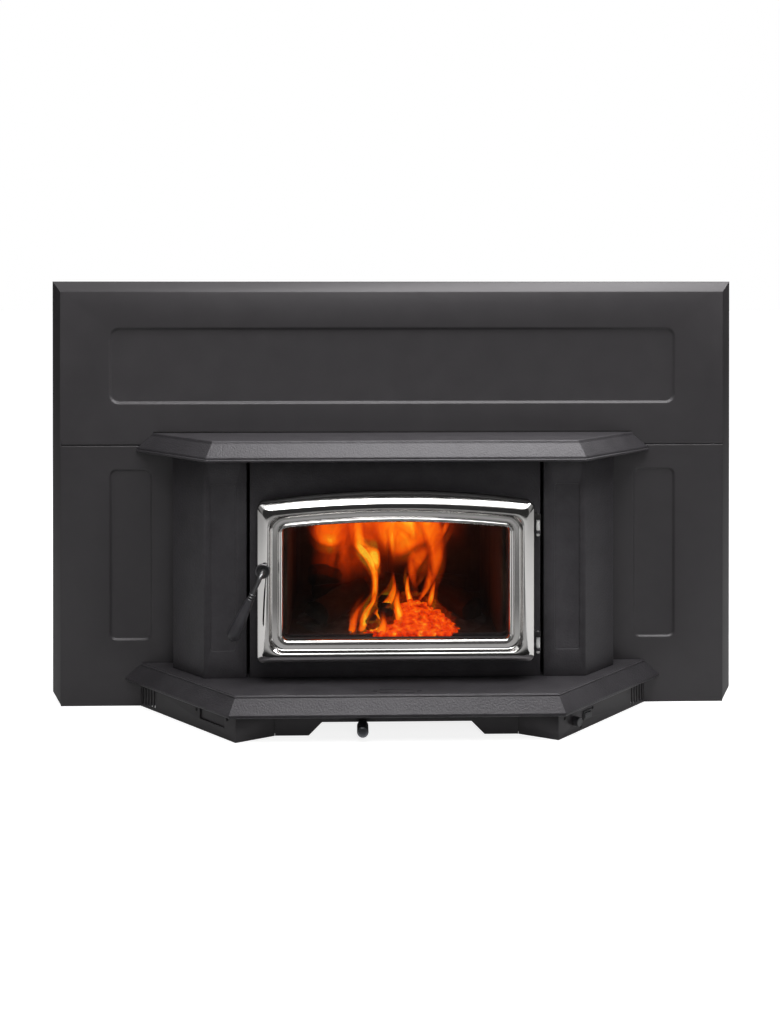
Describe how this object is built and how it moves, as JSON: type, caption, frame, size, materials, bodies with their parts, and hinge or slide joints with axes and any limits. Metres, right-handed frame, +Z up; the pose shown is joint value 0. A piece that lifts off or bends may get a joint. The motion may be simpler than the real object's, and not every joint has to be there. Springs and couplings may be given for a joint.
{
  "type": "fireplace insert",
  "caption": "Wood-burning fireplace insert: flush steel surround, cast shelves and pillars, hinged arched glass door, air lever, blower pods, brick firebox and flue collar.",
  "frame": {"origin": "centre of the surround's front plane, at hearth level on the underside of the base plate", "axes": "+X to the right seen from the room, +Y into the chimney, +Z up; the surround's front face is the plane y = 0"},
  "size_m": [1.224, 0.574, 0.756],
  "materials": {
    "panel_paint": "matte metallic charcoal stove paint",
    "cast_paint": "matte metallic charcoal stove paint over casting",
    "black_steel": "matt black heat-resistant paint",
    "chrome": "polished bright plating",
    "steel": "plain satin steel",
    "galvanised": "zinc-coated sheet steel",
    "firebrick": "rough fired brick",
    "board": "rough pressed fibre board",
    "glass": "smooth glass-ceramic",
    "rope": "woven fibreglass rope",
    "black_plastic": "satin moulded plastic"
  },
  "bodies": {
    "insert": {"air_box": "black_steel", "air_channel_left": "black_steel", "air_channel_right": "black_steel", "air_tube_1": "black_steel", "air_tube_2": "black_steel", "air_tube_3": "black_steel", "ash_shelf": "cast_paint", "back_brick_1": "firebrick", "back_brick_2": "firebrick", "baffle_board": "board", "base_plate": "black_steel", "blank_cover_plate": "panel_paint", "blower_housing_left": "galvanised", "blower_housing_right": "galvanised", "blower_motor_left": "black_steel", "blower_motor_right": "black_steel", "control_plate": "panel_paint", "convection_casing": "galvanised", "face_plate": "cast_paint", "firebox_shell": "black_steel", "floor_brick_1": "firebrick", "floor_brick_2": "firebrick", "floor_brick_3": "firebrick", "flue_collar": "cast_paint", "front_plate": "panel_paint", "hinge_pin_lower": "steel", "hinge_pin_upper": "steel", "left_brick_1": "firebrick", "left_brick_2": "firebrick", "pillar_left": "cast_paint", "pillar_right": "cast_paint", "pod_skirt_left": "panel_paint", "pod_skirt_right": "panel_paint", "power_inlet": "black_plastic", "right_brick_1": "firebrick", "right_brick_2": "firebrick", "speed_control": "black_plastic", "surround_side_panel_left": "panel_paint", "surround_side_panel_right": "panel_paint", "surround_top_panel": "panel_paint", "switch_housing": "black_plastic", "top_shelf": "cast_paint", "trim_side_left": "panel_paint", "trim_side_right": "panel_paint", "trim_top": "panel_paint"},
    "door": {"door_frame": "black_steel", "door_trim": "chrome", "door_glass": "glass", "glass_retainer": "black_steel", "rope_gasket": "rope", "handle_bushing": "chrome"},
    "handle": {"handle_shaft": "chrome", "handle_grip": "black_plastic", "latch_cam": "steel"},
    "air_lever": {"air_control_slide": "steel", "air_control_knob": "steel"},
    "speed_dial": {"speed_knob": "black_plastic"},
    "rocker": {"rocker_switch": "black_plastic"},
    "fan_left": {"impeller_left": "steel"},
    "fan_right": {"impeller_right": "steel"}
  },
  "joints": [
    {"name": "door_hinge", "type": "hinge", "parent": "insert", "child": "door", "pos_m": [0.2415, -0.118, 0.24], "axis": [0, 0, 1], "range_deg": [0, 115]},
    {"name": "handle_turn", "type": "hinge", "parent": "door", "child": "handle", "pos_m": [-0.224, -0.15, 0.27], "axis": [0, 1, 0], "range_deg": [0, 90]},
    {"name": "air_slide", "type": "slide", "parent": "insert", "child": "air_lever", "axis": [1, 0, 0], "range_m": [0, 0.066]},
    {"name": "fan_speed_turn", "type": "hinge", "parent": "insert", "child": "speed_dial", "pos_m": [0.30109, -0.15698, 0.0205], "axis": [0.7071, -0.7071, 0], "range_deg": [0, 270]},
    {"name": "switch_rock", "type": "hinge", "parent": "insert", "child": "rocker", "pos_m": [0.32209, -0.12707, 0.0225], "axis": [0, 0, 1], "range_deg": [0, 12]},
    {"name": "fan_left_spin", "type": "hinge", "parent": "insert", "child": "fan_left", "pos_m": [-0.256, -0.09, 0.03], "axis": [1, 0, 0], "continuous": true},
    {"name": "fan_right_spin", "type": "hinge", "parent": "insert", "child": "fan_right", "pos_m": [0.256, -0.09, 0.03], "axis": [1, 0, 0], "continuous": true}
  ]
}
